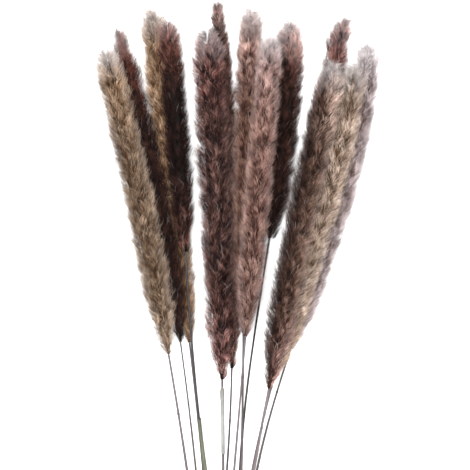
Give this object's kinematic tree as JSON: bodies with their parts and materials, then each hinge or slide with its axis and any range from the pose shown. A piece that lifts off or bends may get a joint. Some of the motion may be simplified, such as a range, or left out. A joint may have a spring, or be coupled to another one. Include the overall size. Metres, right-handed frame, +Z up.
{
  "type": "bundle of dried pampas grass",
  "caption": "Loose bunch of dried pampas grass lying down: long soft plumes that fan out from thin stems drawn together at their cut ends.",
  "frame": {"origin": "middle of the bunch's footprint, on the surface that it lies on", "axes": "+Y from the cut ends to the plume tips, +X across the fan of plumes, +Z up"},
  "size_m": [0.2858, 0.6, 0.0553],
  "materials": {
    "tan_plume": "soft matt dried plume, tan",
    "purple_plume": "soft matt dried plume, dark purple brown",
    "golden_plume": "soft matt dried plume, golden beige",
    "dark_plume": "soft matt dried plume, very dark brown",
    "red_brown_plume": "soft matt dried plume, dark red brown",
    "pink_brown_plume": "soft matt dried plume, pinkish brown",
    "pink_grey_plume": "soft matt dried plume, pinkish grey",
    "beige_plume": "soft matt dried plume, light beige",
    "stem": "smooth dried stem with a dull sheen, grey purple",
    "green_sheath": "dried leaf sheath, matt grey green",
    "papery_sheath": "thin papery leaf sheath, pale straw"
  },
  "bodies": {
    "root": {"stem_01": "stem", "plume_01": "tan_plume", "stem_02": "stem", "plume_02": "purple_plume", "stem_03": "stem", "plume_03": "golden_plume", "stem_04": "stem", "plume_04": "dark_plume", "stem_05": "stem", "plume_05": "red_brown_plume", "stem_06": "stem", "plume_06": "dark_plume", "stem_07": "stem", "plume_07": "pink_brown_plume", "stem_08": "stem", "plume_08": "pink_grey_plume", "stem_09": "stem", "plume_09": "dark_plume", "stem_10": "stem", "plume_10": "purple_plume", "stem_11": "stem", "plume_11": "beige_plume", "stem_12": "stem", "plume_12": "golden_plume", "stem_13": "stem", "plume_13": "pink_grey_plume", "sheath_04": "green_sheath", "sheath_05": "papery_sheath"}
  },
  "joints": []
}
